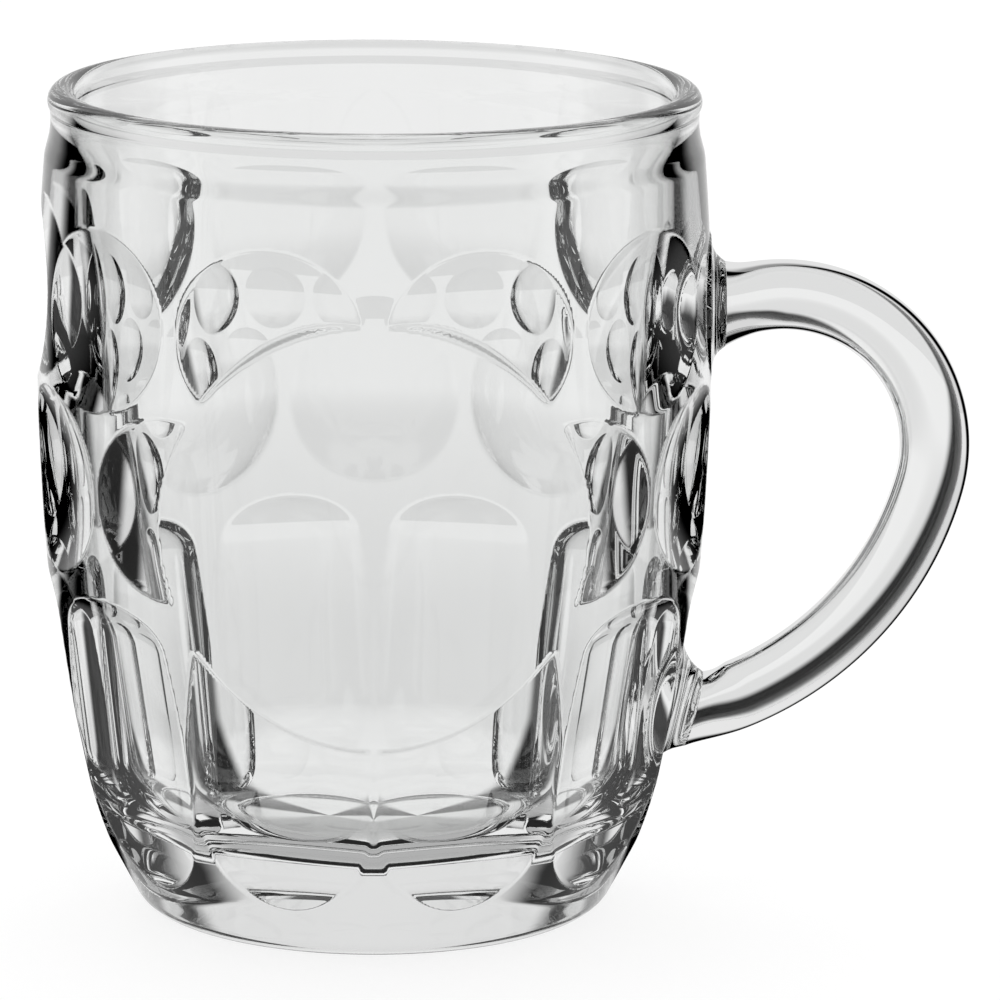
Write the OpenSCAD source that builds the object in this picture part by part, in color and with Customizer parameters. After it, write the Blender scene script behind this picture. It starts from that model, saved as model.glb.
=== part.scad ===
// Dimpled pressed glass beer mug with a smooth round panel on its front and
// a bent glass bar as its handle. Millimetres. The resting ring stands on
// Z = 0 round the Z axis, the round panel looks along -Y and the handle
// stands out along +X.

/* [Mug body] */
// Height from the table to the top of the rim
mug_h = 122; // [119:0.5:125]
// Radius of the barrel at its widest level
belly_r = 49.3; // [48.6:0.1:50]
// Level of the widest part of the barrel
belly_z = 82; // [80:0.5:84]
// Radius of the long upright curve of the barrel side
side_curve_r = 360; // [330:5:400]
// Level where the side starts to draw in toward the base
waist_z = 31; // [29:0.5:33]
// Radius of the tighter curve that draws in toward the base
waist_curve_r = 70; // [66:1:75]
// Height of the plain cone band round the base
base_band_h = 8.5; // [7.5:0.25:9]
// Radius of the rounded heel at the table
heel_r = 5; // [4:0.25:6]
// Width of the flat ring that the mug stands on
ring_w = 2.4467; // [1.5:0.05:5]
// Depth of the recess under the base
recess_h = 1.4; // [0.8:0.1:2]

/* [Inside] */
// Thickness of the wall between the widest outside and the widest inside
wall_t = 5.2; // [5:0.05:5.7]
// Level of the greatest inside radius
inside_z = 95; // [90:1:100]
// Radius of the long upright curve of the inside wall
inside_curve_r = 500; // [470:10:560]
// Thickness of the solid glass base
floor_h = 13.5; // [12.5:0.25:14.5]
// Radius of the corner between the inside wall and the floor
floor_corner_r = 16; // [13:0.5:18]

/* [Rim] */
// Thickness of the rounded lip
lip_t = 4.1; // [4:0.02:4.2]
// Level of the shallow neck below the lip
neck_z = 117.3; // [117:0.1:117.5]
// Depth of the shallow neck at its narrowest
neck_depth = 0.46514; // [0.42:0.005:0.66]
// Radius of the hollow curve that forms the neck
neck_curve_r = 12; // [10:0.5:14]

/* [Dimples] */
// Number of dimples in a full row
dimples = 10; // [10:1:10]
// Level of the centres of the top row
top_row_z = 93.2; // [92.8:0.1:93.6]
// Level of the centres of the middle row
mid_row_z = 65.6; // [65.2:0.1:66]
// Depth of a dimple of the top row at its centre
top_row_depth = 2.55; // [2.3:0.05:2.7]
// Depth of a dimple of the middle row at its centre
mid_row_depth = 3.1; // [2.8:0.05:3.2]
// Radius of the hollow of a dimple seen from above
dimple_plan_r = 150; // [130:5:200]
// Radius of the hollow of a dimple seen from the side
dimple_side_r = 38; // [36:0.5:40]

/* [Flutes] */
// Level where the straight run of a flute ends and its round top begins
flute_shoulder_z = 43.6; // [43:0.1:44.4]
// Depth of a flute at that level
flute_depth = 2.7; // [2.5:0.05:2.8]
// Level where a flute runs out into the base band
flute_end_z = 9; // [8.8:0.1:9.4]
// Radius of the round top of a flute seen from the side
flute_top_r = 14.5; // [14:0.25:15.5]
// Radius of the hollow of a flute seen from above
flute_plan_r = 400; // [350:10:450]

/* [Round panel] */
// Radius of the smooth panel where it meets the barrel
panel_r = 30.75; // [30.2:0.05:31.2]
// Level of the centre of the panel
panel_z = 64.6; // [64:0.1:65.2]
// Draft of the wall round the panel, in degrees
panel_draft = 14; // [10:1:18]

/* [Handle] */
// Radius of the round glass bar
bar_r = 5.3; // [5:0.05:5.5]
// Radius of the upper bend, measured to the middle of the bar
upper_bend_r = 22.55; // [22:0.05:23]
// Distance of the centre of the upper bend from the upper joint
bend_reach = 8.6; // [8.2:0.1:9]
// Level of the centre of the upper bend
bend_z = 68.7; // [68.2:0.1:69.2]
// Turn from the top of the upper bend to its end, in degrees
upper_bend_turn = 104.7; // [103:0.1:106]
// Radius of the long lower bend, measured to the middle of the bar
lower_bend_r = 47.8; // [47:0.1:48.6]
// Lift of the bar where it leaves the upper seat, in degrees
bar_lift = 14.9; // [13:0.1:16]

/* [Handle seats] */
// Distance of the upper joint from the plain side of the barrel
upper_joint_gap = 1.9845; // [1.8:0.05:2.2]
// Level of the upper joint
upper_joint_z = 89.8; // [89.6:0.05:90]
// Distance of the lower joint from the side of the barrel at the waist
lower_joint_gap = 1.6308; // [1.53:0.01:1.83]
// Tilt of the lower joint, in degrees
lower_joint_tilt = 14.4; // [13.5:0.1:15]
// Radius of the hollow curve between the wall and the upper end of the bar
upper_flare_r = 5.5; // [5.2:0.1:5.8]
// Height of the upper joint above the start of its flare
upper_joint_h = 2.5; // [2.3:0.05:2.7]
// Radius of the hollow curve between the wall and the lower end of the bar
lower_flare_r = 6.5; // [6:0.1:7]
// Height of the lower joint above the start of its flare
lower_joint_h = 4.5; // [4.2:0.05:4.7]
// Length of the flare left on the bar at each end
bar_flare_l = 5; // [4:0.25:6]
// Length of bar over which its end turns flat to the joint
bar_end_l = 9; // [8.5:0.25:11]
// Length of the root of a seat inside the glass wall
seat_root = 3; // [2.8:0.1:3.2]

/* [Hidden] */
$fa = 2;
$fs = 0.6;
// Steps in a full turn of the largest curves
fine_steps = 720;
// Extra length of every second flute, so that four faces never meet in one point
flute_stagger = 0.4;
// Place in the middle row that the round panel takes
front_place = 7;
// Overrun of every cut past the glass
overrun = 4;
// Extra radius of a seat over the bar, as a share of the bar radius
core_share = 0.02;
// Width of a scoop over the space of one dimple, as a share of it
scoop_share = 1.2;
// Sides of the bar and steps along it
bar_sides = 36;
bar_steps = 64;
glass = [0.86, 0.92, 0.90, 0.55];
bar_glass = [0.88, 0.93, 0.92, 0.6];

dimple_step = 360 / dimples;
function scoop_angle(plan_r) = asin(belly_r * sin(half_step) / plan_r) * scoop_share;
half_step = dimple_step / 2;
inside_r = belly_r - wall_t;

// Barrel side: a long curve above the waist and a tangent tighter one below it
waist_angle = asin((belly_z - waist_z) / side_curve_r);
side_x = belly_r - side_curve_r;
waist_x = side_x + (side_curve_r - waist_curve_r) * cos(waist_angle);
waist_centre_z = belly_z - (side_curve_r - waist_curve_r) * sin(waist_angle);
band_angle = asin((waist_centre_z - base_band_h) / waist_curve_r);
band_r = waist_x + waist_curve_r * cos(band_angle);
heel_x = band_r - (base_band_h - heel_r) * tan(band_angle) - heel_r / cos(band_angle);
recess_r = heel_x - ring_w;

// Inside: the corner at the floor meets the wall in one tangent point
corner_z = floor_h + floor_corner_r;
corner_angle = asin((inside_z - corner_z) / (inside_curve_r - floor_corner_r));
corner_x = inside_r - inside_curve_r + (inside_curve_r - floor_corner_r) * cos(corner_angle);
touch_x = corner_x + floor_corner_r * cos(corner_angle);
touch_z = corner_z - floor_corner_r * sin(corner_angle);

// Radius of the barrel on the long curve and on the tighter one
function side_at(z) = side_x + sqrt(pow(side_curve_r, 2) - pow(z - belly_z, 2));
function band_at(z) = waist_x + sqrt(pow(waist_curve_r, 2) - pow(z - waist_centre_z, 2));
function slope_at(z) = asin((belly_z - z) / side_curve_r);

// Neck, and the lip centred on the wall that carries it
neck_r = side_at(neck_z) - neck_depth;
lip_z = mug_h - lip_t / 2;
lip_inner_r = inside_r - inside_curve_r + sqrt(pow(inside_curve_r, 2) - pow(lip_z - inside_z, 2));
lip_x = (side_at(lip_z) + lip_inner_r) / 2;

// Flute: a straight line between its shoulder and its lower end
shoulder_r = side_at(flute_shoulder_z) - flute_depth;
end_r = band_at(flute_end_z);
flute_tilt = atan((shoulder_r - end_r) / (flute_shoulder_z - flute_end_z));
flute_run = (flute_shoulder_z - flute_end_z) / cos(flute_tilt);

// Handle: start of the upper bend, and the centre and end of the lower one
upper_joint_x = side_at(upper_joint_z) + upper_joint_gap;
lower_joint_x = side_at(waist_z) + lower_joint_gap;
bend_x = upper_joint_x + bend_reach;
bend_start_x = bend_x - upper_bend_r * sin(bar_lift);
bend_start_z = bend_z + upper_bend_r * cos(bar_lift);
lower_bend_x = bend_x + (upper_bend_r - lower_bend_r) * sin(upper_bend_turn);
lower_bend_z = bend_z + (upper_bend_r - lower_bend_r) * cos(upper_bend_turn);
lower_joint_dx = lower_joint_x - lower_bend_x;
lower_joint_z = lower_bend_z - sqrt(pow(lower_bend_r, 2) - pow(lower_joint_dx, 2));
lower_bend_end = 180 - asin(lower_joint_dx / lower_bend_r);
seat_core_r = bar_r * (1 + core_share);

// Lengths of the three runs of the bar, measured along its middle
lead_length = norm([bend_start_x - upper_joint_x, bend_start_z - upper_joint_z]);
upper_length = upper_bend_r * (bar_lift + upper_bend_turn) * PI / 180;
lower_length = lower_bend_r * (lower_bend_end - upper_bend_turn) * PI / 180;
bar_length = lead_length + upper_length + lower_length;

// Turn of the bar from straight out, positive downward, at a distance along it
function bar_turn(s) =
    s < lead_length ? -bar_lift
    : s < lead_length + upper_length ? (s - lead_length) / upper_bend_r * 180 / PI - bar_lift
    : (s - lead_length - upper_length) / lower_bend_r * 180 / PI + upper_bend_turn;

// Middle of the bar at a distance along it, as x and z
function bar_point(s) =
    s < lead_length ? let (t = s / lead_length) [
        upper_joint_x + t * (bend_start_x - upper_joint_x),
        upper_joint_z + t * (bend_start_z - upper_joint_z)
    ]
    : s < lead_length + upper_length ? [
        bend_x + upper_bend_r * sin(bar_turn(s)),
        bend_z + upper_bend_r * cos(bar_turn(s))
    ]
    : [
        lower_bend_x + lower_bend_r * sin(bar_turn(s)),
        lower_bend_z + lower_bend_r * cos(bar_turn(s))
    ];

// Smooth fall from one to nothing over the length of a bar end
function fade(s) = let (t = min(s / bar_end_l, 1)) 1 - t * t * (3 - 2 * t);

// Pitch of a ring: square to the bar, but flat on the joint at either end
function ring_pitch(s) = let (
    pitch = -bar_turn(s),
    upper = -pitch * fade(s),
    lower = (-180 - lower_joint_tilt - pitch) * fade(bar_length - s)
) pitch + upper + lower;

// Radius of a flare at a height above its start, and of the bar between its two flared ends
function flare_at(flare_r, h) = seat_core_r + flare_r - sqrt(pow(flare_r, 2) - pow(flare_r - h, 2));
function swell(face_r, end) = (face_r - bar_r) * pow(max(1 - end / bar_flare_l, 0), 2);
function ring_radius(s) = bar_r
    + swell(flare_at(upper_flare_r, upper_joint_h), s)
    + swell(flare_at(lower_flare_r, lower_joint_h), bar_length - s);

// Outline of the solid barrel, right half only
module barrel_outline() {
    // Long upper curve
    intersection() {
        translate([side_x, belly_z]) circle(side_curve_r, $fn = fine_steps);
        translate([0, waist_z]) square([belly_r, lip_z - waist_z]);
    }
    // Tighter curve toward the base
    intersection() {
        translate([waist_x, waist_centre_z]) circle(waist_curve_r, $fn = fine_steps);
        translate([0, base_band_h]) square([belly_r, waist_z - base_band_h]);
    }
    base_outline();
}

// Plain cone band and rounded heel
module base_outline() {
    heel_touch_r = heel_x + heel_r * cos(band_angle);
    heel_touch_z = heel_r - heel_r * sin(band_angle);
    polygon([
        [0, 0], [heel_x, 0], [heel_x, heel_r], [heel_touch_r, heel_touch_z],
        [band_r, base_band_h], [0, base_band_h]
    ]);
    intersection() {
        translate([heel_x, heel_r]) circle(heel_r);
        square([belly_r, base_band_h]);
    }
}

// Plain barrel with its lip, neck, room for the drink and recess under the base
module barrel() {
    rotate_extrude() {
        difference() {
            barrel_outline();
            translate([neck_r + neck_curve_r, neck_z]) circle(neck_curve_r);
            inside_outline();
            translate([0, -overrun]) square([recess_r, recess_h + overrun]);
        }
        translate([lip_x, lip_z]) circle(lip_t / 2);
    }
}

// Room for the drink, right half only: upright wall, round corner and flat floor
module inside_outline() {
    intersection() {
        translate([inside_r - inside_curve_r, inside_z]) circle(inside_curve_r, $fn = fine_steps);
        translate([0, touch_z]) square([belly_r, lip_z - touch_z + overrun]);
    }
    intersection() {
        translate([corner_x, corner_z]) circle(floor_corner_r);
        translate([corner_x, floor_h]) square([floor_corner_r, touch_z - floor_h]);
    }
    polygon([
        [0, floor_h], [corner_x, floor_h], [corner_x, corner_z], [touch_x, touch_z], [0, touch_z]
    ]);
}

// Sector of a ring whose near side scoops a dimple at the given level
module scoop(z, depth) {
    reach = depth + overrun;
    half_angle = scoop_angle(dimple_plan_r);
    translate([side_at(z) - depth + dimple_plan_r, 0, z])
        rotate([0, 0, 180 - half_angle]) rotate_extrude(angle = 2 * half_angle, $fn = fine_steps)
            intersection() {
                translate([dimple_plan_r - dimple_side_r, 0]) circle(dimple_side_r);
                translate([dimple_plan_r - reach, -dimple_side_r]) square([reach, 2 * dimple_side_r]);
            }
}

// One long scoop with a round top that runs out at the base band
module flute_scoop(run) {
    reach = flute_depth + overrun;
    half_angle = scoop_angle(flute_plan_r);
    translate([end_r, 0, flute_end_z]) rotate([0, flute_tilt, 0]) translate([flute_plan_r, 0, 0])
        rotate([0, 0, 180 - half_angle]) rotate_extrude(angle = 2 * half_angle, $fn = fine_steps) {
            translate([flute_plan_r - reach, -overrun]) square([reach, overrun + run]);
            intersection() {
                translate([flute_plan_r - flute_top_r, run]) circle(flute_top_r);
                translate([flute_plan_r - reach, run]) square([reach, flute_top_r]);
            }
        }
}

// Turn the children to each place of a staggered row, from the first angle on
module row(first, places) {
    for (i = places) rotate([0, 0, first + i * dimple_step]) children();
}

// All hollows of the barrel; the top row leaves the handle side plain
module hollows() {
    row(0, [1:1:dimples - 1]) scoop(top_row_z, top_row_depth);
    row(half_step, [for (i = [0:1:dimples - 1]) if (i != front_place) i]) scoop(mid_row_z, mid_row_depth);
    row(0, [0:2:dimples - 1]) flute_scoop(flute_run);
    row(0, [1:2:dimples - 1]) flute_scoop(flute_run + flute_stagger);
}

// Glass that stays standing behind the round panel
module panel_core() {
    core_r = panel_r + belly_r * tan(panel_draft);
    translate([0, 0, panel_z]) rotate([90, 0, 0])
        cylinder(h = belly_r, r1 = core_r, r2 = panel_r);
}

// Flared root that carries one end of the bar; its axis is Z and its top lies on the joint
module seat(flare_r, height) {
    flare_x = seat_core_r + flare_r;
    translate([0, 0, -height]) rotate_extrude() difference() {
        translate([0, -seat_root]) square([flare_x, height + seat_root]);
        translate([flare_x, flare_r]) circle(flare_r);
    }
}

// Both seats, their axes pointing away from the wall
module seats() {
    translate([upper_joint_x, 0, upper_joint_z]) rotate([0, 90, 0])
        seat(upper_flare_r, upper_joint_h);
    translate([lower_joint_x, 0, lower_joint_z]) rotate([0, 90 + lower_joint_tilt, 0])
        seat(lower_flare_r, lower_joint_h);
}

// Pressed body with its hollows, panel, lip and the two handle seats
module mug_body() {
    color(glass) {
        difference() {
            barrel();
            difference() {
                hollows();
                panel_core();
            }
        }
        seats();
    }
}

// One ring of points round the bar at a distance along it
function bar_ring(s) = let (
    centre = bar_point(s),
    turn = ring_pitch(s),
    reach = ring_radius(s)
) [
    for (i = [0:1:bar_sides - 1]) let (a = 360 * i / bar_sides) [
        centre[0] - reach * cos(a) * sin(turn),
        reach * sin(a),
        centre[1] + reach * cos(a) * cos(turn)
    ]
];

// Glass bar bent to two tangent curves, flared where it meets its two seats
module handle() {
    rings = [for (k = [0:1:bar_steps]) bar_ring(bar_length * k / bar_steps)];
    points = [for (ring = rings) for (point = ring) point];
    sides = [
        for (k = [0:1:bar_steps - 1]) for (i = [0:1:bar_sides - 1])
            let (j = (i + 1) % bar_sides, here = k * bar_sides, next = here + bar_sides)
                [here + i, here + j, next + j, next + i]
    ];
    first = [for (i = [bar_sides - 1:-1:0]) i];
    last = [for (i = [0:1:bar_sides - 1]) bar_steps * bar_sides + i];
    color(bar_glass) polyhedron(points, concat([first, last], sides));
}

mug_body();
handle();
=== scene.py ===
"""Dimpled glass beer mug on a pale studio floor, dressed over its CAD frame.

The pressed body and the bent handle each replace the CAD solid of the same
name with a finer skin of the same form, so that the glass bends light smoothly.
Sizes are in millimetres and angles in degrees, unless a docstring says otherwise.
"""

from __future__ import annotations

import logging
import math
from dataclasses import dataclass, field
from enum import Enum

import bmesh
import bpy
import numpy as np
from mathutils import Matrix, Vector


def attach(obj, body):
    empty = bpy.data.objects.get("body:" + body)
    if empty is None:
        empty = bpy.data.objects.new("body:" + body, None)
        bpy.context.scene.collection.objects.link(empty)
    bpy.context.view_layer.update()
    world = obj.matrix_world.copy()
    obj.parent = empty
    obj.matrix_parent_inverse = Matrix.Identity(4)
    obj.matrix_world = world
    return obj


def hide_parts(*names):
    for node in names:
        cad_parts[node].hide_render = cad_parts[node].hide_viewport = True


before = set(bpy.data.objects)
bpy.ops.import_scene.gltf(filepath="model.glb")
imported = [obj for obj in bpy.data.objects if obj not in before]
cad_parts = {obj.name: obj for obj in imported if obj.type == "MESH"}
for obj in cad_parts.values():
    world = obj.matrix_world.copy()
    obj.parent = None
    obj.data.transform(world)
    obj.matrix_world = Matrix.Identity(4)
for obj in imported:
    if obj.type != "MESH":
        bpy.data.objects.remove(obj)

LOG = logging.getLogger("mug")
MM = 0.001
FULL_TURN = 2 * math.pi
TO_DEGREES = 180 / math.pi

# Radius that stands for a surface with nothing cut out of it
UNCUT = 1000.0
# Least value under a root, so that levels past the end of a round cutter stay real
LEAST_SQUARE = 0.01

Ring = tuple[np.ndarray, np.ndarray]


class Node(Enum):
    """Names of the solids of the frame that the pieces stand for."""

    BODY = "mug_body"
    HANDLE = "handle"


class Slot(Enum):
    """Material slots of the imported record."""

    BODY = "body_glass"
    HANDLE = "handle_glass"


@dataclass(frozen=True)
class GlassFinish:
    """Clear glass.

    Args:
        name: name of the material.
        tint: colour that the light takes on at each surface.
        index: index of refraction.
        roughness: roughness of the fire-polished surface.
    """

    name: str
    tint: tuple[float, float, float] = (0.985, 0.99, 0.987)
    index: float = 1.52
    roughness: float = 0.0

    def build(self) -> bpy.types.Material:
        """Make the node material.

        Returns:
            The new material.
        """
        material = bpy.data.materials.new(self.name)
        material.use_nodes = True
        shader = material.node_tree.nodes["Principled BSDF"]
        shader.inputs["Base Color"].default_value = (*self.tint, 1.0)
        shader.inputs["Transmission Weight"].default_value = 1.0
        shader.inputs["IOR"].default_value = self.index
        shader.inputs["Roughness"].default_value = self.roughness
        return material


@dataclass(frozen=True)
class Barrel:
    """Plain barrel without its hollows, as arcs that run into each other.

    Args:
        height: level of the lip.
        belly_r: greatest radius.
        belly_z: level of the greatest radius.
        side_curve_r: radius of the long curve of the side.
        waist_z: level where the side turns in more tightly.
        waist_curve_r: radius of that tighter curve.
        band_h: height of the straight band at the foot.
        heel_r: radius of the rounding under the band.
        recess_r: radius of the recess under the base.
        recess_h: height of the recess.
        neck_z: level of the middle of the neck's hollow.
        neck_r: radius of the neck.
        neck_curve_r: radius of the neck's hollow.
        neck_margin: rim of the neck's hollow that is left out.
        lip_t: thickness of the round lip.
        inside_r: greatest radius of the inside.
        inside_z: level of the greatest radius inside.
        inside_curve_r: radius of the long curve of the inside wall.
        floor_h: level of the floor inside.
        floor_corner_r: radius of the corner between wall and floor.
    """

    height: float = 122.0
    belly_r: float = 49.3
    belly_z: float = 82.0
    side_curve_r: float = 360.0
    waist_z: float = 31.0
    waist_curve_r: float = 70.0
    band_h: float = 8.5
    heel_r: float = 5.0
    recess_r: float = 28.5
    recess_h: float = 1.4
    neck_z: float = 117.3
    neck_r: float = 47.1
    neck_curve_r: float = 12.0
    neck_margin: float = 0.1
    lip_t: float = 4.1
    inside_r: float = 44.1
    inside_z: float = 95.0
    inside_curve_r: float = 700.0
    floor_h: float = 14.0
    floor_corner_r: float = 13.0

    def side(self, z: np.ndarray | float) -> np.ndarray:
        """Outer radius of the plain barrel.

        Args:
            z: levels above the table.

        Returns:
            The radius at each level.
        """
        z = np.asarray(z, float)
        upper_x = self.belly_r - self.side_curve_r
        upper = upper_x + np.sqrt(self.side_curve_r**2 - (z - self.belly_z) ** 2)
        angle = math.asin((self.belly_z - self.waist_z) / self.side_curve_r)
        gap = self.side_curve_r - self.waist_curve_r
        waist_x = upper_x + gap * math.cos(angle)
        waist_centre = self.belly_z - gap * math.sin(angle)
        reach = np.clip(self.waist_curve_r**2 - (z - waist_centre) ** 2, 0, None)
        lower = waist_x + np.sqrt(reach)
        band_angle = math.asin((waist_centre - self.band_h) / self.waist_curve_r)
        band_r = waist_x + self.waist_curve_r * math.cos(band_angle)
        band = band_r - (self.band_h - z) * math.tan(band_angle)
        return np.where(z > self.waist_z, upper, np.where(z > self.band_h, lower, band))

    def heel(self) -> tuple[float, float]:
        """Foot of the barrel.

        Returns:
            Radius of the centre of the rounded heel, and the slope of the band in radians.
        """
        rise = 1.0
        angle = math.atan(float(self.side(self.band_h) - self.side(self.band_h - rise)) / rise)
        foot = float(self.side(self.heel_r))
        return foot - self.heel_r / math.cos(angle), angle

    def neck(self, z: float, blend: float) -> float:
        """Outer radius where the neck is hollowed under the lip.

        Args:
            z: level above the table.
            blend: difference under which the hollow and the side blend.

        Returns:
            The radius at that level.
        """
        off = abs(z - self.neck_z)
        hollow = UNCUT
        if off < self.neck_curve_r - self.neck_margin:
            reach = math.sqrt(max(self.neck_curve_r**2 - (z - self.neck_z) ** 2, 0))
            hollow = self.neck_r + self.neck_curve_r - reach
        return float(soft_min(self.side(z), np.asarray(hollow), blend))

    def lip(self) -> tuple[float, float, float]:
        """Round lip.

        Returns:
            Radius and level of the centre of its section, and the section's radius.
        """
        level = self.height - self.lip_t / 2
        middle = (float(self.inside(level)) + float(self.side(level))) / 2
        return middle, level, self.lip_t / 2

    def inside(self, z: np.ndarray | float) -> np.ndarray:
        """Radius of the inside wall above its corner.

        Args:
            z: levels above the table.

        Returns:
            The radius at each level.
        """
        rise = np.asarray(z, float) - self.inside_z
        return self.inside_r - self.inside_curve_r + np.sqrt(self.inside_curve_r**2 - rise**2)

    def corner(self) -> tuple[float, float, float]:
        """Round corner between the inside wall and the floor.

        Returns:
            Radius and level of its centre, and the angle in radians where it meets the wall.
        """
        level = self.floor_h + self.floor_corner_r
        gap = self.inside_curve_r - self.floor_corner_r
        angle = math.asin((self.inside_z - level) / gap)
        return self.inside_r - self.inside_curve_r + gap * math.cos(angle), level, angle


@dataclass(frozen=True)
class Dimples:
    """One ring of round hollows.

    Args:
        level: level of their middles.
        depth: depth of a middle under the plain barrel.
        plan_r: radius of the cutter seen from above.
        side_r: radius of the cutter seen from the side.
        first: angle of the first one from the front, toward the handle.
        skipped: numbers of those that the ring leaves out.
    """

    level: float
    depth: float
    plan_r: float = 80.0
    side_r: float = 30.5
    first: float = 90.0
    skipped: tuple[int, ...] = ()


@dataclass(frozen=True)
class Flutes:
    """The ring of long hollows below the dimples.

    Args:
        shoulder_z: level where the round top of a flute begins.
        depth: depth at that level.
        low_z: level down to which a flute stays deep.
        low_depth: depth at that level.
        end_z: level where a flute has run out.
        margin: height under the end to which the cutter is followed.
        top_r: radius of the round top seen from the side.
        plan_r: radius of the cutter seen from above.
        first: angle of the first one from the front, toward the handle.
        reach: greatest distance of the cutter from the axis that is reckoned with.
    """

    shoulder_z: float = 45.6
    depth: float = 2.8
    low_z: float = 13.0
    low_depth: float = 1.9
    end_z: float = 7.8
    margin: float = 4.0
    top_r: float = 9.0
    plan_r: float = 65.0
    first: float = 90.0
    reach: float = 200.0


@dataclass(frozen=True)
class Panel:
    """Smooth round panel on the front, where nothing is cut.

    Args:
        radius: radius of the panel, seen from the front.
        level: level of its middle.
        slope: steepness of the step at its edge.
        free: limit to the hollows' depth on the far side, more than any has.
    """

    radius: float = 30.75
    level: float = 64.6
    slope: float = 4.0
    free: float = 99.0


@dataclass(frozen=True)
class Joint:
    """Place where the bar is welded to a flared seat of the body.

    Args:
        x: distance of the joint from the mug's axis.
        z: level of the joint.
        tilt: angle of the bar's end, down from level.
        rise: height of the seat.
        flare_r: radius of the seat's flare.
        core_r: radius of the bar's round end.
    """

    x: float
    z: float
    tilt: float
    rise: float
    flare_r: float
    core_r: float = 5.406

    def face_r(self) -> float:
        """Radius of the joint's flat face."""
        drop = math.sqrt(self.flare_r**2 - (self.flare_r - self.rise) ** 2)
        return self.core_r + self.flare_r - drop


@dataclass(frozen=True)
class Bends:
    """The two bends of the bar, which run into each other.

    Args:
        upper_r: radius of the upper bend.
        centre_x: distance of its centre from the mug's axis.
        centre_z: level of its centre.
        upper_turn: angle at which it runs into the lower bend, from straight up.
        lower_r: radius of the lower bend.
        lift: angle by which the bar rises from the upper joint.
    """

    upper_r: float = 22.55
    centre_x: float = 59.8
    centre_z: float = 68.7
    upper_turn: float = 104.7
    lower_r: float = 47.8
    lift: float = 14.9

    def lower_centre(self) -> tuple[float, float]:
        """Find the centre of the lower bend.

        Returns:
            Its distance from the mug's axis, and its level.
        """
        turn = math.radians(self.upper_turn)
        gap = self.upper_r - self.lower_r
        return self.centre_x + gap * math.sin(turn), self.centre_z + gap * math.cos(turn)

    def level_at(self, x: float) -> float:
        """Level at which the lower bend comes to a distance from the axis."""
        low_x, low_z = self.lower_centre()
        return low_z - math.sqrt(self.lower_r**2 - (x - low_x) ** 2)


@dataclass(frozen=True)
class RingSteps:
    """How finely the body's outline is cut into rings, as sizes or counts.

    Args:
        around: points around each ring.
        hub: share of the radius at which the rings on the axis end.
        recess: rings across the recess.
        recess_wall: shares of the recess wall's height that get a ring.
        heel: rings around the heel.
        side_gap: height of the first pressed ring over the heel.
        flute_top: level up to which the finer step of the flutes holds.
        flute_step: step up the flutes.
        dimple_top: level up to which the step of the dimples holds.
        dimple_step: step up the dimples.
        neck_gap: height of the first plain ring over the dimples.
        neck_step: step up the neck.
        neck_blend: difference under which neck and side blend.
        lip_start: angle in radians at which the lip's rings begin.
        lip: rings around the lip.
        inside: rings down the inside wall.
        corner: rings around the corner.
        floor: rings across the floor.
    """

    around: int = 720
    hub: float = 0.01
    recess: int = 8
    recess_wall: tuple[float, ...] = (0.1, 0.5, 0.9, 1.0)
    heel: int = 14
    side_gap: float = 0.2
    flute_top: float = 54.0
    flute_step: float = 0.3
    dimple_top: float = 108.0
    dimple_step: float = 0.36
    neck_gap: float = 0.3
    neck_step: float = 0.3
    neck_blend: float = 0.4
    lip_start: float = -0.6
    lip: int = 34
    inside: int = 90
    corner: int = 24
    floor: int = 10


def soft_min(first: np.ndarray, second: np.ndarray, width: float) -> np.ndarray:
    """Lower of two values with a rounded change-over.

    Args:
        first: first values.
        second: second values.
        width: difference under which the two blend.

    Returns:
        The blended lower values.
    """
    near = np.maximum(width - np.abs(first - second), 0.0) / width
    return np.minimum(first, second) - near * near * width / 4


def apart(turn: np.ndarray, middle: float) -> np.ndarray:
    """Signed angle in radians between directions, within half a turn."""
    return (turn - middle + math.pi) % FULL_TURN - math.pi


def stand(name: str, data: bpy.types.ID) -> bpy.types.Object:
    """Put a new object in the scene.

    Args:
        name: name of the new object.
        data: its mesh, light or camera.

    Returns:
        The new object.
    """
    thing = bpy.data.objects.new(name, data)
    bpy.context.scene.collection.objects.link(thing)
    return thing


def tube_mesh(name: str, rings: np.ndarray, drop: np.ndarray | None = None) -> bpy.types.Object:
    """Skin a stack of closed rings.

    Args:
        name: name of the new object.
        rings: array of rings by points by three.
        drop: true where the quad that starts at a point is left out.

    Returns:
        The new object, linked to the scene.
    """
    count, around = rings.shape[:2]
    index = np.arange(count * around).reshape(count, around)
    here, above = index[:-1], index[1:]
    quads = np.stack([here, np.roll(here, -1, 1), np.roll(above, -1, 1), above], -1)
    corners = quads.shape[-1]
    kept = quads if drop is None else quads[~drop[:-1]]
    quads = kept.reshape(-1, corners)
    mesh = bpy.data.meshes.new(name)
    mesh.vertices.add(count * around)
    mesh.vertices.foreach_set("co", (rings * MM).astype(np.float32).ravel())
    mesh.loops.add(quads.size)
    mesh.loops.foreach_set("vertex_index", quads.ravel().astype(np.int32))
    mesh.polygons.add(len(quads))
    mesh.polygons.foreach_set("loop_start", np.arange(0, quads.size, corners, dtype=np.int32))
    mesh.update(calc_edges=True)
    mesh.validate()
    mesh.shade_smooth()
    return stand(name, mesh)


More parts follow.
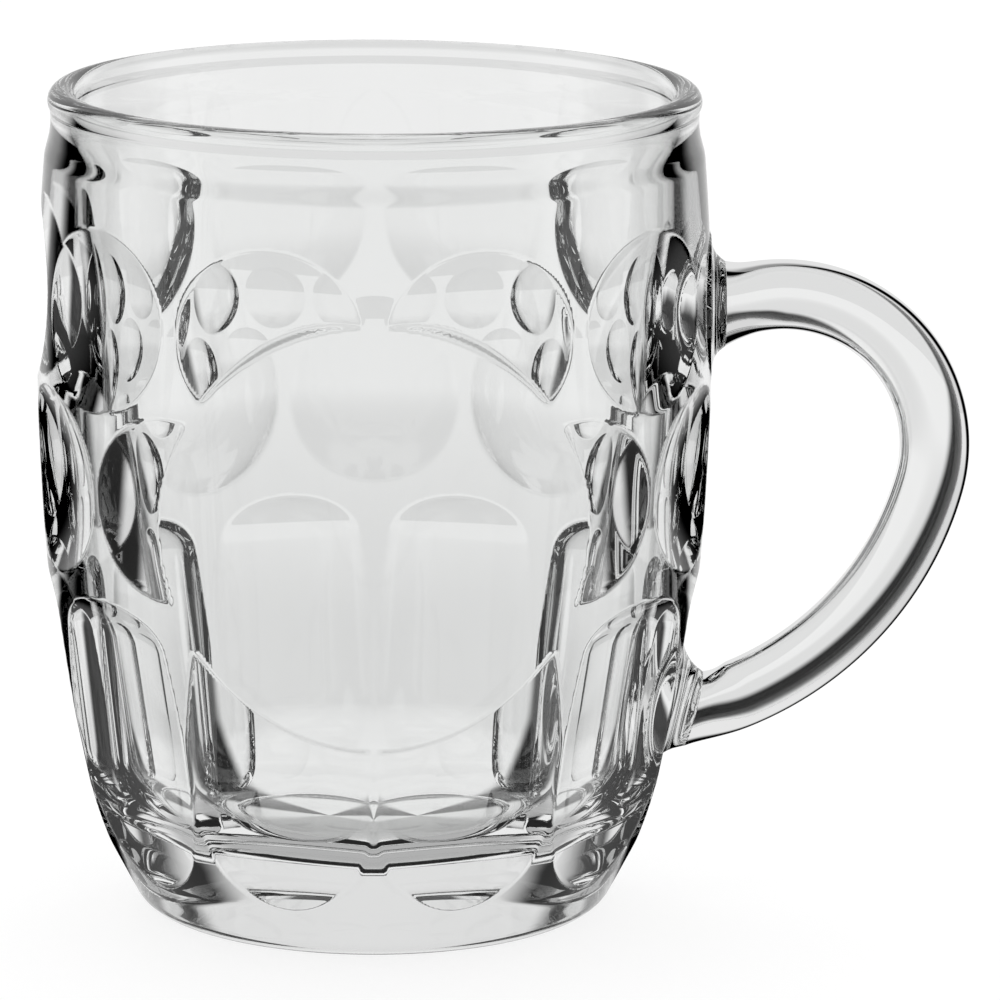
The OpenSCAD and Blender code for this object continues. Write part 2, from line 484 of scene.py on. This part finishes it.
@dataclass
class MugBody:
    """Pressed body with its dimples, flutes, panel, lip and handle seats.

    Args:
        finish: the glass.
        joints: the places where the handle is welded on.
        barrel: the plain form under the hollows.
        top_row: the upper ring of dimples.
        mid_row: the lower ring of dimples.
        flutes: the ring of long hollows.
        panel: the smooth panel.
        steps: how finely the outline is cut into rings.
        copies: hollows in a full ring.
        edge: difference under which two cut surfaces blend.
        facing: cosine of the widest angle at which a cutter is met.
        seat_edge: difference under which a seat and the barrel blend.
        seat_reach: angle in radians from the handle within which a seat lies.
        seat_cos: least cosine that the seats are worked out with.
        seat_passes: passes that bring a point of a seat to its place.
        face_slack: distance from a joint's plane that counts as on it.
        face_margin: rim of a joint's face that keeps its skin.
    """

    finish: GlassFinish
    joints: tuple[Joint, Joint]
    barrel: Barrel = field(default_factory=Barrel)
    top_row: Dimples = Dimples(level=93.2, depth=3.2, skipped=(0,))
    mid_row: Dimples = Dimples(level=65.6, depth=3.4, first=108.0, skipped=(7,))
    flutes: Flutes = field(default_factory=Flutes)
    panel: Panel = field(default_factory=Panel)
    steps: RingSteps = field(default_factory=RingSteps)
    copies: int = 10
    edge: float = 0.5
    facing: float = 0.5
    seat_edge: float = 1.0
    seat_reach: float = 0.5
    seat_cos: float = 0.2
    seat_passes: int = 6
    face_slack: float = 0.6
    face_margin: float = 0.25

    def hollow_radius(self, turn: np.ndarray, near: np.ndarray, plan_r: float) -> np.ndarray:
        """Radius at which a round cutter beside the mug ends.

        Args:
            turn: angle in radians from the middle of the hollow.
            near: least distance of the cutter from the mug's axis.
            plan_r: radius of the cutter seen from above.

        Returns:
            The radius in each direction, or UNCUT where the cutter isn't met.
        """
        far = near + plan_r
        reach = plan_r**2 - (far * np.sin(turn)) ** 2
        met = (reach > 0) & (np.cos(turn) > self.facing)
        radius = far * np.cos(turn) - np.sqrt(np.clip(reach, 0, None))
        return np.where(met, radius, UNCUT)

    def dimple_profile(self, row: Dimples, z: np.ndarray) -> np.ndarray:
        """Least distance of a dimple's surface from the axis.

        Args:
            row: ring that the dimple is in.
            z: levels above the table.

        Returns:
            The distance at each level.
        """
        rise = z - row.level
        bow = row.side_r - np.sqrt(np.clip(row.side_r**2 - rise**2, LEAST_SQUARE, None))
        return float(self.barrel.side(row.level)) - row.depth + bow

    def flute_profile(self, z: np.ndarray) -> np.ndarray:
        """Least distance of a flute's surface from the axis.

        Args:
            z: levels above the table.

        Returns:
            The distance at each level, or UNCUT above and below the flutes.
        """
        flutes = self.flutes
        shoulder = float(self.barrel.side(flutes.shoulder_z)) - flutes.depth
        low = float(self.barrel.side(flutes.low_z)) - flutes.low_depth
        end = float(self.barrel.side(flutes.end_z))
        over = z - flutes.shoulder_z
        rise = np.clip(over, 0, flutes.top_r)
        bow = flutes.top_r - np.sqrt(np.clip(flutes.top_r**2 - rise**2, LEAST_SQUARE, None))
        run = shoulder + over * (shoulder - low) / (flutes.shoulder_z - flutes.low_z) + bow
        ramp = end + (z - flutes.end_z) * (low - end) / (flutes.low_z - flutes.end_z)
        return np.where(self.in_flutes(z), np.where(z < flutes.low_z, ramp, run), UNCUT)

    def in_flutes(self, z: np.ndarray) -> np.ndarray:
        """True at the levels that the flutes reach."""
        flutes = self.flutes
        return (z < flutes.shoulder_z + flutes.top_r) & (z > flutes.end_z - flutes.margin)

    def outer(self, turn: np.ndarray, z: np.ndarray) -> np.ndarray:
        """Radius of the pressed surface.

        Args:
            turn: angles in radians from the front, positive toward the handle.
            z: levels, in the same shape.

        Returns:
            The radius at each point.
        """
        plain = self.barrel.side(z)
        cut = np.full(plain.shape, UNCUT)
        step = 360 / self.copies
        rows = [(row, self.dimple_profile(row, z)) for row in (self.top_row, self.mid_row)]
        in_flutes = self.in_flutes(z)
        flute = np.minimum(self.flute_profile(z), self.flutes.reach)
        for copy in range(self.copies):
            for row, near in rows:
                if copy not in row.skipped:
                    away = apart(turn, math.radians(row.first + copy * step))
                    cut = soft_min(cut, self.hollow_radius(away, near, row.plan_r), self.edge)
            away = apart(turn, math.radians(self.flutes.first + copy * step))
            long_cut = self.hollow_radius(away, flute, self.flutes.plan_r)
            cut = soft_min(cut, np.where(in_flutes, long_cut, UNCUT), self.edge)
        depth = np.clip(plain - cut, 0, None)
        off = np.hypot(plain * np.sin(turn), z - self.panel.level) - self.panel.radius
        step_in = np.clip(off, 0, None) * self.panel.slope
        limit = np.where(np.cos(turn) > 0, step_in, self.panel.free)
        depth = np.clip(soft_min(depth, limit, self.edge), 0, None)
        return self.with_seats(turn, z, plain - depth)

    def with_seats(self, turn: np.ndarray, z: np.ndarray, radius: np.ndarray) -> np.ndarray:
        """Raise the surface to the flared seats of the handle.

        Args:
            turn: angles in radians from the front, positive toward the handle.
            z: levels, in the same shape.
            radius: radius of the surface without the seats.

        Returns:
            The radius with the seats.
        """
        away = apart(turn, math.pi / 2)
        for joint in self.joints:
            tilt = math.radians(joint.tilt)
            reach = joint.core_r + joint.flare_r
            base = radius.copy()
            lift = np.zeros(radius.shape)
            for _ in range(self.seat_passes):
                across = base * np.sin(away)
                along = (z - joint.z + lift * math.sin(tilt)) / math.cos(tilt)
                rho = np.hypot(across, along)
                gap = np.clip(reach - rho, 0, joint.flare_r)
                flare = joint.flare_r - np.sqrt(joint.flare_r**2 - gap**2)
                lift = np.minimum(flare, joint.rise) - joint.rise
                x = joint.x + lift * math.cos(tilt) + along * math.sin(tilt)
                base = x / np.clip(np.cos(away), self.seat_cos, None)
            seen = (np.abs(away) < self.seat_reach) & (rho < reach)
            raised = np.where(seen, base, 0.0)
            radius = -soft_min(-radius, -raised, self.seat_edge)
        return radius

    def on_joint(self, rings: np.ndarray) -> np.ndarray:
        """Find the points on the flat faces that the bar covers.

        Args:
            rings: array of rings by points by three.

        Returns:
            True where a point lies well within a joint's face.
        """
        hit = np.zeros(rings.shape[:2], bool)
        for joint in self.joints:
            tilt = math.radians(joint.tilt)
            dx = rings[..., 0] - joint.x
            dz = rings[..., 2] - joint.z
            off = dx * math.cos(tilt) - dz * math.sin(tilt)
            along = dx * math.sin(tilt) + dz * math.cos(tilt)
            within = np.hypot(rings[..., 1], along) < joint.face_r() - self.face_margin
            hit |= (np.abs(off) < self.face_slack) & within
        return hit

    def directions(self) -> np.ndarray:
        """Angles in radians of a ring's points from the front, positive toward the handle."""
        return np.linspace(-math.pi, math.pi, self.steps.around, endpoint=False)

    def ring(self, radius: np.ndarray | float, level: float) -> Ring:
        """One ring, as the radius and the level of each of its points."""
        flat = np.ones(self.steps.around)
        return radius * flat, level * flat

    def foot_rings(self) -> list[Ring]:
        """Cut the recess, the resting ring and the heel into rings.

        Returns:
            The rings, from the axis outward.
        """
        barrel, steps = self.barrel, self.steps
        heel_x, slope = barrel.heel()
        shares = np.linspace(steps.hub, 1, steps.recess)
        rings = [self.ring(barrel.recess_r * share, barrel.recess_h) for share in shares]
        for share in steps.recess_wall:
            rings.append(self.ring(barrel.recess_r, barrel.recess_h * (1 - share)))
        for angle in np.linspace(-math.pi / 2, -slope, steps.heel):
            radius = heel_x + barrel.heel_r * math.cos(angle)
            rings.append(self.ring(radius, barrel.heel_r * (1 + math.sin(angle))))
        return rings

    def side_rings(self) -> list[Ring]:
        """Cut the pressed side and the neck into rings.

        Returns:
            The rings, from the heel up to the lip.
        """
        barrel, steps = self.barrel, self.steps
        turn = self.directions()
        slope = barrel.heel()[1]
        low = barrel.heel_r * (1 - math.sin(slope)) + steps.side_gap
        flutes = np.arange(low, steps.flute_top, steps.flute_step)
        dimples = np.arange(steps.flute_top, steps.dimple_top, steps.dimple_step)
        rings = []
        for level in np.concatenate([flutes, dimples]):
            rings.append(self.ring(self.outer(turn, level * np.ones(steps.around)), level))
        lip_z, lip_r = barrel.lip()[1:]
        neck_end = lip_z + lip_r * math.sin(steps.lip_start)
        for level in np.arange(steps.dimple_top + steps.neck_gap, neck_end, steps.neck_step):
            rings.append(self.ring(barrel.neck(level, steps.neck_blend), level))
        return rings

    def inner_rings(self) -> list[Ring]:
        """Cut the lip, the inside wall, the corner and the floor into rings.

        Returns:
            The rings, from the outside of the lip to the axis.
        """
        barrel, steps = self.barrel, self.steps
        lip_x, lip_z, lip_r = barrel.lip()
        lip_end = math.pi + math.acos((lip_x - float(barrel.inside(lip_z))) / lip_r)
        corner_x, corner_z, corner_angle = barrel.corner()
        wall_top = lip_z + lip_r * math.sin(lip_end)
        wall_foot = corner_z - barrel.floor_corner_r * math.sin(corner_angle)
        rings = []
        for angle in np.linspace(steps.lip_start, lip_end, steps.lip):
            rings.append(self.ring(lip_x + lip_r * math.cos(angle), lip_z + lip_r * math.sin(angle)))
        for level in np.linspace(wall_top, wall_foot, steps.inside)[1:]:
            rings.append(self.ring(float(barrel.inside(level)), level))
        for angle in np.linspace(corner_angle, math.pi / 2, steps.corner)[1:]:
            radius = corner_x + barrel.floor_corner_r * math.cos(angle)
            rings.append(self.ring(radius, corner_z - barrel.floor_corner_r * math.sin(angle)))
        for share in np.linspace(1, steps.hub, steps.floor)[1:]:
            rings.append(self.ring(corner_x * share, barrel.floor_h))
        return rings

    def build(self) -> bpy.types.Object:
        """Make the body.

        Returns:
            The new piece, in place of its solid.
        """
        turn = self.directions()
        stack = self.foot_rings() + self.side_rings() + self.inner_rings()
        radius = np.stack([ring[0] for ring in stack])
        level = np.stack([ring[1] for ring in stack])
        rings = np.stack([radius * np.sin(turn), -radius * np.cos(turn), level], -1)
        piece = tube_mesh("pressed_body", rings, self.on_joint(rings))
        self.close(piece, len(stack))
        piece.data.materials.append(self.finish.build())
        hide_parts(Node.BODY.value)
        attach(piece, "root")
        return piece

    def close(self, piece: bpy.types.Object, count: int) -> None:
        """Close the small holes on the axis, under the base and on the floor.

        Args:
            piece: the body.
            count: number of its rings.
        """
        around = self.steps.around
        shape = bmesh.new()
        shape.from_mesh(piece.data)
        shape.verts.ensure_lookup_table()
        first = [shape.verts[i] for i in range(around)]
        last = [shape.verts[(count - 1) * around + i] for i in range(around)]
        for ring in (first[::-1], last):
            shape.faces.new(ring).smooth = False
        loose = [point for point in shape.verts if not point.link_faces]
        bmesh.ops.delete(shape, geom=loose, context="VERTS")
        shape.to_mesh(piece.data)
        shape.free()


@dataclass
class BentHandle:
    """Bent glass bar between its two joints, with slight flats along it.

    Args:
        finish: the glass.
        joints: the upper and the lower joint.
        bends: the bends between them.
        bar_r: radius of the bar in the plane of its bends.
        depth_share: thickness of the bar across that plane, as a share of its width in it.
        flats: number of flats around the bar.
        flat_share: half the depth of a flat, as a share of the radius.
        flare_l: length over which an end swells to its joint.
        end_l: length over which an end is round and square to its joint.
        steps: sections along the bar.
        sides: points around a section.
    """

    finish: GlassFinish
    joints: tuple[Joint, Joint]
    bends: Bends
    bar_r: float = 5.3
    depth_share: float = 0.74
    flats: int = 6
    flat_share: float = 0.015
    flare_l: float = 5.0
    end_l: float = 9.0
    steps: int = 260
    sides: int = 96

    def path(self) -> tuple[np.ndarray, np.ndarray, np.ndarray, np.ndarray]:
        """Follow the middle of the bar.

        Returns:
            Distance along the bar, x, z and pitch in radians at each step.
        """
        upper, lower = self.joints
        bends = self.bends
        lift = math.radians(bends.lift)
        turn = math.radians(bends.upper_turn)
        start_x = bends.centre_x - bends.upper_r * math.sin(lift)
        start_z = bends.centre_z + bends.upper_r * math.cos(lift)
        low_x, low_z = bends.lower_centre()
        end_turn = math.pi - math.asin((lower.x - low_x) / bends.lower_r)
        lead = math.hypot(start_x - upper.x, start_z - upper.z)
        change = lead + bends.upper_r * (lift + turn)
        total = change + bends.lower_r * (end_turn - turn)
        run = np.linspace(0, total, self.steps)
        high = run < change
        angle = np.where(high, (run - lead) / bends.upper_r - lift, turn + (run - change) / bends.lower_r)
        angle = np.where(run < lead, -lift, angle)
        share = run / lead
        bend_r = np.where(high, bends.upper_r, bends.lower_r)
        x = np.where(high, bends.centre_x, low_x) + bend_r * np.sin(angle)
        z = np.where(high, bends.centre_z, low_z) + bend_r * np.cos(angle)
        x = np.where(run < lead, upper.x + share * (start_x - upper.x), x)
        z = np.where(run < lead, upper.z + share * (start_z - upper.z), z)
        return run, x, z, -angle

    def fade(self, run: np.ndarray) -> np.ndarray:
        """Smooth fall from one to nothing over the length of a bar end."""
        share = np.clip(run / self.end_l, 0, 1)
        return 1 - share * share * (3 - 2 * share)

    def squared(self, run: np.ndarray, pitch: np.ndarray) -> np.ndarray:
        """Turn the sections at both ends square to their joints.

        Args:
            run: distance along the bar.
            pitch: pitch of the bar in radians.

        Returns:
            The pitch of the sections in radians.
        """
        upper = -pitch * self.fade(run)
        lower = (-math.pi - math.radians(self.joints[1].tilt) - pitch) * self.fade(run[-1] - run)
        return pitch + upper + lower

    def swollen(self, run: np.ndarray) -> np.ndarray:
        """Swell the bar to the faces of its joints.

        Args:
            run: distance along the bar.

        Returns:
            The radius of the bar.
        """
        radius = np.full(run.shape, self.bar_r)
        for joint, end in zip(self.joints, (run, run[-1] - run)):
            swell = joint.face_r() - self.bar_r
            radius = radius + swell * np.clip(1 - end / self.flare_l, 0, 1) ** 2
        return radius

    def build(self) -> bpy.types.Object:
        """Make the handle.

        Returns:
            The new piece, in place of its solid.
        """
        run, x, z, pitch = self.path()
        pitch = self.squared(run, pitch)[:, None]
        turn = np.linspace(0, FULL_TURN, self.sides, endpoint=False)[None, :]
        plain = np.maximum(self.fade(run), self.fade(run[-1] - run))[:, None]
        wave = 1 + np.cos(self.flats * turn)
        radius = self.swollen(run)[:, None] * (1 - self.flat_share * (1 - plain) * wave)
        depth = self.depth_share + (1 - self.depth_share) * plain
        across = x[:, None] - radius * np.cos(turn) * np.sin(pitch)
        level = z[:, None] + radius * np.cos(turn) * np.cos(pitch)
        rings = np.stack([across, radius * depth * np.sin(turn), level], -1)
        piece = tube_mesh("bent_handle", rings)
        piece.data.materials.append(self.finish.build())
        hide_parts(Node.HANDLE.value)
        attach(piece, "root")
        return piece


@dataclass
class Graph:
    """Short hand for building a node tree of plain sums.

    Args:
        tree: the node tree to add to.
    """

    tree: bpy.types.NodeTree

    def add(self, kind: str) -> bpy.types.Node:
        """Add one node of a kind."""
        return self.tree.nodes.new(kind)

    def link(self, value: bpy.types.NodeSocket | float, socket: bpy.types.NodeSocket) -> None:
        """Feed a socket from another one, or set it to a number.

        Args:
            value: the other socket, or the number.
            socket: the socket to feed.
        """
        if isinstance(value, (int, float)):
            socket.default_value = value
        else:
            self.tree.links.new(value, socket)

    def reckon(self, operation: str, *values: bpy.types.NodeSocket | float) -> bpy.types.NodeSocket:
        """Add one sum.

        Args:
            operation: name of the operation.
            values: sockets or numbers.

        Returns:
            The result.
        """
        node = self.add("ShaderNodeMath")
        node.operation = operation
        for value, socket in zip(values, node.inputs):
            self.link(value, socket)
        return node.outputs[0]

    def ramp(
        self, value: bpy.types.NodeSocket, start: float, end: float, low: float, high: float
    ) -> bpy.types.NodeSocket:
        """Go smoothly from one level to another between two values.

        Args:
            value: the value.
            start: value at which the first level ends.
            end: value at which the second level begins.
            low: the first level.
            high: the second level.

        Returns:
            The level.
        """
        node = self.add("ShaderNodeMapRange")
        node.interpolation_type = "SMOOTHSTEP"
        for name, number in (("From Min", start), ("From Max", end), ("To Min", low), ("To Max", high)):
            node.inputs[name].default_value = number
        self.tree.links.new(value, node.inputs["Value"])
        return node.outputs[0]

    def grey(self, value: bpy.types.NodeSocket) -> bpy.types.NodeSocket:
        """Turn a level into a grey colour.

        Args:
            value: the level.

        Returns:
            The colour.
        """
        node = self.add("ShaderNodeCombineColor")
        for socket in node.inputs[:3]:
            self.tree.links.new(value, socket)
        return node.outputs[0]


@dataclass(frozen=True)
class Studio:
    """Bright-field studio: a lit wedge behind the mug and dark flags at its sides.

    Angles around the mug are measured from its far side, both ways. Radii on
    the floor are in metres, and levels of light run from nothing to one.

    Args:
        lit_edge: angle at which the lit wedge ends.
        lit_level: level of the lit wedge.
        side_edge: angle at which the flags end.
        near_edge: angle at which the side light falls off.
        softness: half the angle over which an edge fades.
        flag_level: level of the flags.
        side_level: level of the side light.
        near_share: share of the side light that is left on the near side.
        sky_level: share of each level that the upper half of the room has.
        top_start: height over the horizon at which the sky starts to fade.
        top_end: height at which it has faded.
        top_level: share that is left overhead.
        floor_half: half the width of the floor in metres.
        painted_light_share: share of each level that the floor has, as painted light in its glow to the
            glass.
        painted_shadow_level: share of the floor's glow left in a painted shadow ring around the mug.
        painted_pool_r: radius of the painted pool of light around the mug.
        painted_shadow_r: radius of the painted shadow ring.
        painted_shadow_end_r: radius from which the painted shadow has faded and the floor is bright
            again.
        floor_level: level of the floor as the camera sees it, without the lamp.
        floor_albedo: share of the lamp's light that the floor gives back.
        lamp_strength: strength of the lamp.
        lamp_angle: width of the lamp as an angle.
        lamp_tilt: angle of the lamp from straight overhead.
    """

    lit_edge: float = 39.0
    lit_level: float = 0.96
    side_edge: float = 80.0
    near_edge: float = 115.0
    softness: float = 6.0
    flag_level: float = 0.0
    side_level: float = 0.85
    near_share: float = 0.55
    sky_level: float = 0.8
    top_start: float = 50.0
    top_end: float = 75.0
    top_level: float = 0.3
    floor_half: float = 5.0
    painted_light_share: float = 0.93
    painted_shadow_level: float = 0.86
    painted_pool_r: float = 0.07
    painted_shadow_r: float = 0.23
    painted_shadow_end_r: float = 0.4
    floor_level: float = 0.86
    floor_albedo: float = 0.2
    lamp_strength: float = 1.8
    lamp_angle: float = 80.0
    lamp_tilt: float = 20.0

    def wedge(
        self, graph: Graph, x: bpy.types.NodeSocket, y: bpy.types.NodeSocket
    ) -> bpy.types.NodeSocket:
        """Level of light in a direction seen from above.

        Args:
            graph: the node tree to build in.
            x: the direction's part toward the handle.
            y: the direction's part toward the far side.

        Returns:
            The level.
        """
        angle = graph.reckon("ARCTAN2", x, y)
        degrees = graph.reckon("MULTIPLY", graph.reckon("ABSOLUTE", angle), TO_DEGREES)
        soft = self.softness
        far_start, far_end = self.lit_edge - soft, self.lit_edge + soft
        far = graph.ramp(degrees, far_start, far_end, self.lit_level, self.flag_level)
        side_start, side_end = self.side_edge - soft, self.side_edge + soft
        side = graph.ramp(degrees, side_start, side_end, 0.0, self.side_level)
        near_start, near_end = self.near_edge - 2 * soft, self.near_edge + 2 * soft
        near = graph.ramp(degrees, near_start, near_end, 1.0, self.near_share)
        return graph.reckon("MAXIMUM", far, graph.reckon("MULTIPLY", side, near))

    def build_world(self) -> bpy.types.World:
        """Light the scene from all round.

        Returns:
            The world.
        """
        world = bpy.data.worlds.new("studio")
        bpy.context.scene.world = world
        world.use_nodes = True
        world.node_tree.nodes.clear()
        graph = Graph(world.node_tree)
        place = graph.add("ShaderNodeTexCoord")
        split = graph.add("ShaderNodeSeparateXYZ")
        graph.link(place.outputs["Generated"], split.inputs[0])
        level = self.wedge(graph, split.outputs["X"], split.outputs["Y"])
        rise = graph.reckon("MULTIPLY", graph.reckon("ARCSINE", split.outputs["Z"]), TO_DEGREES)
        high = graph.ramp(rise, self.top_start, self.top_end, self.sky_level, self.top_level)
        level = graph.reckon("MULTIPLY", level, high)
        seen = graph.add("ShaderNodeLightPath")
        level = graph.reckon("MAXIMUM", level, seen.outputs["Is Camera Ray"])
        light = graph.add("ShaderNodeBackground")
        graph.link(graph.grey(level), light.inputs["Color"])
        output = graph.add("ShaderNodeOutputWorld")
        graph.link(light.outputs[0], output.inputs[0])
        return world

    def painted_floor_light_level(self, graph: Graph) -> bpy.types.NodeSocket:
        """Level of the floor's glow as the glass sees it.

        Args:
            graph: the node tree to build in.

        Returns:
            The level of painted light: bright behind the mug and painted shade toward its sides,
            with a painted pool of light round the mug and a painted shadow ring beyond it.
        """
        place = graph.add("ShaderNodeNewGeometry")
        split = graph.add("ShaderNodeSeparateXYZ")
        graph.link(place.outputs["Position"], split.inputs[0])
        x, y = split.outputs["X"], split.outputs["Y"]
        # The floor's glow is painted light: the wedge paints the lit wedge bright and the flags' shade
        # dark on it.
        level = graph.reckon("MULTIPLY", self.wedge(graph, x, y), self.painted_light_share)
        squares = [graph.reckon("MULTIPLY", value, value) for value in (x, y)]
        away = graph.reckon("SQRT", graph.reckon("ADD", *squares))
        # Painted shadow: a darker ring on the floor around the mug, as the glass sees it.
        shade = graph.ramp(away, self.painted_shadow_r, self.painted_shadow_end_r, self.painted_shadow_level, 1.0)
        # Painted pool of light: the floor right round the mug is lifted to full brightness.
        painted_pool = graph.ramp(away, self.painted_pool_r, self.painted_shadow_r, 1.0, 0.0)
        return graph.reckon("MULTIPLY", level, graph.reckon("MAXIMUM", shade, painted_pool))

    def floor_material(self) -> bpy.types.Material:
        """Make the floor's material, pale to the camera and graded to the glass.

        Returns:
            The material.
        """
        material = bpy.data.materials.new("pale_floor_with_painted_light")
        material.use_nodes = True
        material.node_tree.nodes.clear()
        graph = Graph(material.node_tree)
        # What the glass sees of the floor is painted light and shade; the camera sees an even pale floor
        # and the lamp's real shadow.
        painted_glow_node = graph.add("ShaderNodeEmission")
        graph.link(graph.grey(self.painted_floor_light_level(graph)), painted_glow_node.inputs["Color"])
        pale = graph.add("ShaderNodeEmission")
        pale.inputs["Strength"].default_value = self.floor_level
        shaded = graph.add("ShaderNodeBsdfDiffuse")
        shaded.inputs["Color"].default_value = (self.floor_albedo,) * 3 + (1.0,)
        both = graph.add("ShaderNodeAddShader")
        graph.link(pale.outputs[0], both.inputs[0])
        graph.link(shaded.outputs[0], both.inputs[1])
        seen = graph.add("ShaderNodeLightPath")
        mix = graph.add("ShaderNodeMixShader")
        graph.link(seen.outputs["Is Camera Ray"], mix.inputs[0])
        graph.link(painted_glow_node.outputs[0], mix.inputs[1])
        graph.link(both.outputs[0], mix.inputs[2])
        output = graph.add("ShaderNodeOutputMaterial")
        graph.link(mix.outputs[0], output.inputs[0])
        return material

    def build_floor(self) -> bpy.types.Object:
        """Lay the pale floor.

        Returns:
            The floor.
        """
        half = self.floor_half
        corners = [(-half, -half, 0), (half, -half, 0), (half, half, 0), (-half, half, 0)]
        mesh = bpy.data.meshes.new("floor")
        mesh.from_pydata(corners, [], [(0, 1, 2, 3)])
        mesh.materials.append(self.floor_material())
        floor = stand("floor", mesh)
        return floor

    def build_lamp(self) -> bpy.types.Object:
        """Hang the large soft lamp that gives the floor its shadow.

        Returns:
            The lamp.
        """
        data = bpy.data.lights.new("soft_lamp", "SUN")
        data.energy = self.lamp_strength
        data.angle = math.radians(self.lamp_angle)
        lamp = stand("soft_lamp", data)
        lamp.rotation_euler = (math.radians(-self.lamp_tilt), 0.0, 0.0)
        lamp.visible_glossy = False
        lamp.visible_transmission = False
        return lamp


@dataclass(frozen=True)
class Viewpoint:
    """Camera fitted to the photograph, taken as 1000 pixels wide.

    Args:
        distance: distance of the camera in front of the mug's axis.
        height: height of the camera over the table.
        aim_z: level that the camera is aimed at.
        focal_px: focal length in pixels.
        centre_px: pixel column of the mug's axis.
        width_px: width of the image in pixels.
        roll: roll of the camera in radians.
        sensor: width of the sensor.
        clip_start: nearest distance that the camera sees, in metres.
    """

    distance: float = 950.0
    height: float = 265.737
    aim_z: float = 60.395
    focal_px: float = 6606.19
    centre_px: float = 371.43
    width_px: float = 1000.0
    roll: float = 0.0062
    sensor: float = 36.0
    clip_start: float = 0.01

    def build(self) -> bpy.types.Object:
        """Make the scene's camera.

        Returns:
            The camera.
        """
        data = bpy.data.cameras.new("camera")
        data.sensor_width = self.sensor
        data.lens = self.sensor * self.focal_px / self.width_px
        data.clip_start = self.clip_start
        tip = math.pi / 2 - math.atan2(self.height - self.aim_z, self.distance)
        turn = math.atan2(self.width_px / 2 - self.centre_px, self.focal_px)
        place = Matrix.Translation(Vector((0, -self.distance, self.height)) * MM)
        aim = Matrix.Rotation(-turn, 4, "Z") @ Matrix.Rotation(tip, 4, "X")
        camera = stand("camera", data)
        camera.matrix_world = place @ aim @ Matrix.Rotation(self.roll, 4, "Z")
        bpy.context.scene.camera = camera
        return camera


def handle_joints(bends: Bends, lower_x: float = 47.3) -> tuple[Joint, Joint]:
    """Place the two joints of the handle.

    Args:
        bends: the bends of the bar, which give the lower joint its level.
        lower_x: distance of the lower joint from the mug's axis.

    Returns:
        The upper and the lower joint.
    """
    upper = Joint(x=51.2, z=89.8, tilt=0.0, rise=2.5, flare_r=5.5)
    lower = Joint(x=lower_x, z=bends.level_at(lower_x), tilt=14.4, rise=4.5, flare_r=6.5)
    return upper, lower


def main() -> None:
    """Build the scene in order."""
    logging.basicConfig(level=logging.INFO, format="%(name)s: %(message)s")
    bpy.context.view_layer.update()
    bends = Bends()
    joints = handle_joints(bends)
    studio = Studio()
    builders = (
        MugBody(GlassFinish("clear_glass"), joints).build,
        BentHandle(GlassFinish("bar_glass"), joints, bends).build,
        studio.build_floor,
        studio.build_world,
        studio.build_lamp,
        Viewpoint().build,
    )
    for build in builders:
        LOG.info("built %s", build().name)
    bpy.context.scene.view_settings.view_transform = "Standard"


if __name__ == "__main__":
    main()
